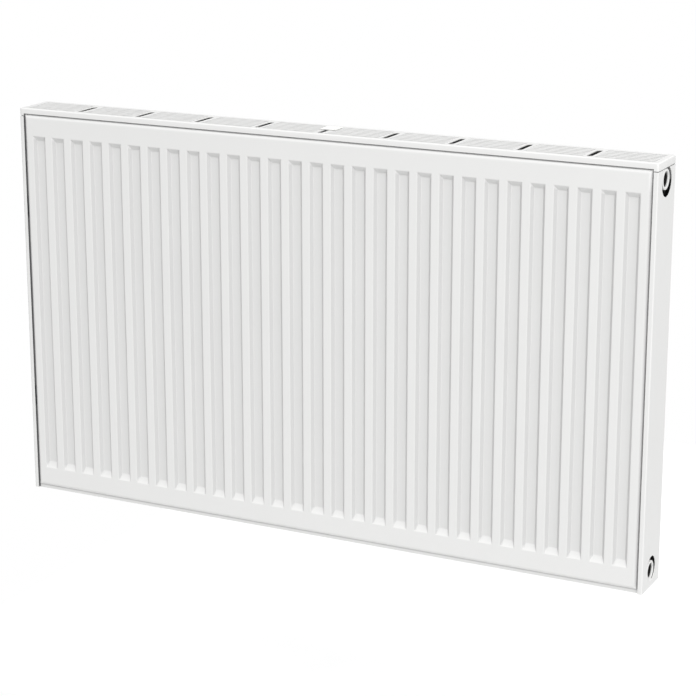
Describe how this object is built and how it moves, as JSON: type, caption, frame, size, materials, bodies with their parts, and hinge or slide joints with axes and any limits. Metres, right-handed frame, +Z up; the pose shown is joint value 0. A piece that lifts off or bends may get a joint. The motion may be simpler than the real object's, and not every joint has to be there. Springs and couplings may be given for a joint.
{
  "type": "radiator",
  "caption": "Wall-hung steel compact panel radiator with pressed vertical channels, clip-on slotted top grille, plain side panels and half-inch side sockets.",
  "frame": {"origin": "middle of the base of the bounding box, level with the bottom edge of the panels; the hanging lugs' back faces are 42.75 mm behind it", "axes": "+X along the radiator's length towards its right end as seen from the room, +Y from the room towards the wall, +Z up"},
  "size_m": [1, 0.0856, 0.602],
  "materials": {
    "white_enamel": "semi-gloss white stoved enamel",
    "galvanised_steel": "dull zinc plate",
    "white_plastic": "fine matt moulded"
  },
  "bodies": {
    "core": {"front_panel_outer_skin": "white_enamel", "front_panel_inner_skin": "white_enamel", "rear_panel_inner_skin": "white_enamel", "rear_panel_outer_skin": "white_enamel", "lower_left_tee": "white_enamel", "lower_left_socket": "white_enamel", "upper_left_tee": "white_enamel", "upper_left_socket": "white_enamel", "lower_right_tee": "white_enamel", "lower_right_socket": "white_enamel", "upper_right_tee": "white_enamel", "upper_right_socket": "white_enamel", "convector": "white_enamel", "left_bridge": "galvanised_steel", "middle_bridge": "galvanised_steel", "right_bridge": "galvanised_steel", "lower_left_hanging_lug": "white_enamel", "upper_left_hanging_lug": "white_enamel", "lower_right_hanging_lug": "white_enamel", "upper_right_hanging_lug": "white_enamel"},
    "top_grille": {"top_grille": "white_enamel"},
    "grille_clip": {"grille_clip": "white_plastic"},
    "left_side_panel": {"left_side_panel": "white_enamel", "lower_left_spring_clip": "galvanised_steel", "upper_left_spring_clip": "galvanised_steel"},
    "right_side_panel": {"right_side_panel": "white_enamel", "lower_right_spring_clip": "galvanised_steel", "upper_right_spring_clip": "galvanised_steel"}
  },
  "joints": [
    {"name": "grille_lift", "type": "slide", "parent": "core", "child": "top_grille", "axis": [0, 0, 1], "range_m": [0, 0.06]},
    {"name": "clip_lift", "type": "slide", "parent": "top_grille", "child": "grille_clip", "axis": [0, 0, 1], "range_m": [0, 0.03]},
    {"name": "left_side_pull", "type": "slide", "parent": "core", "child": "left_side_panel", "axis": [-1, 0, 0], "range_m": [0, 0.06]},
    {"name": "right_side_pull", "type": "slide", "parent": "core", "child": "right_side_panel", "axis": [1, 0, 0], "range_m": [0, 0.06]}
  ]
}
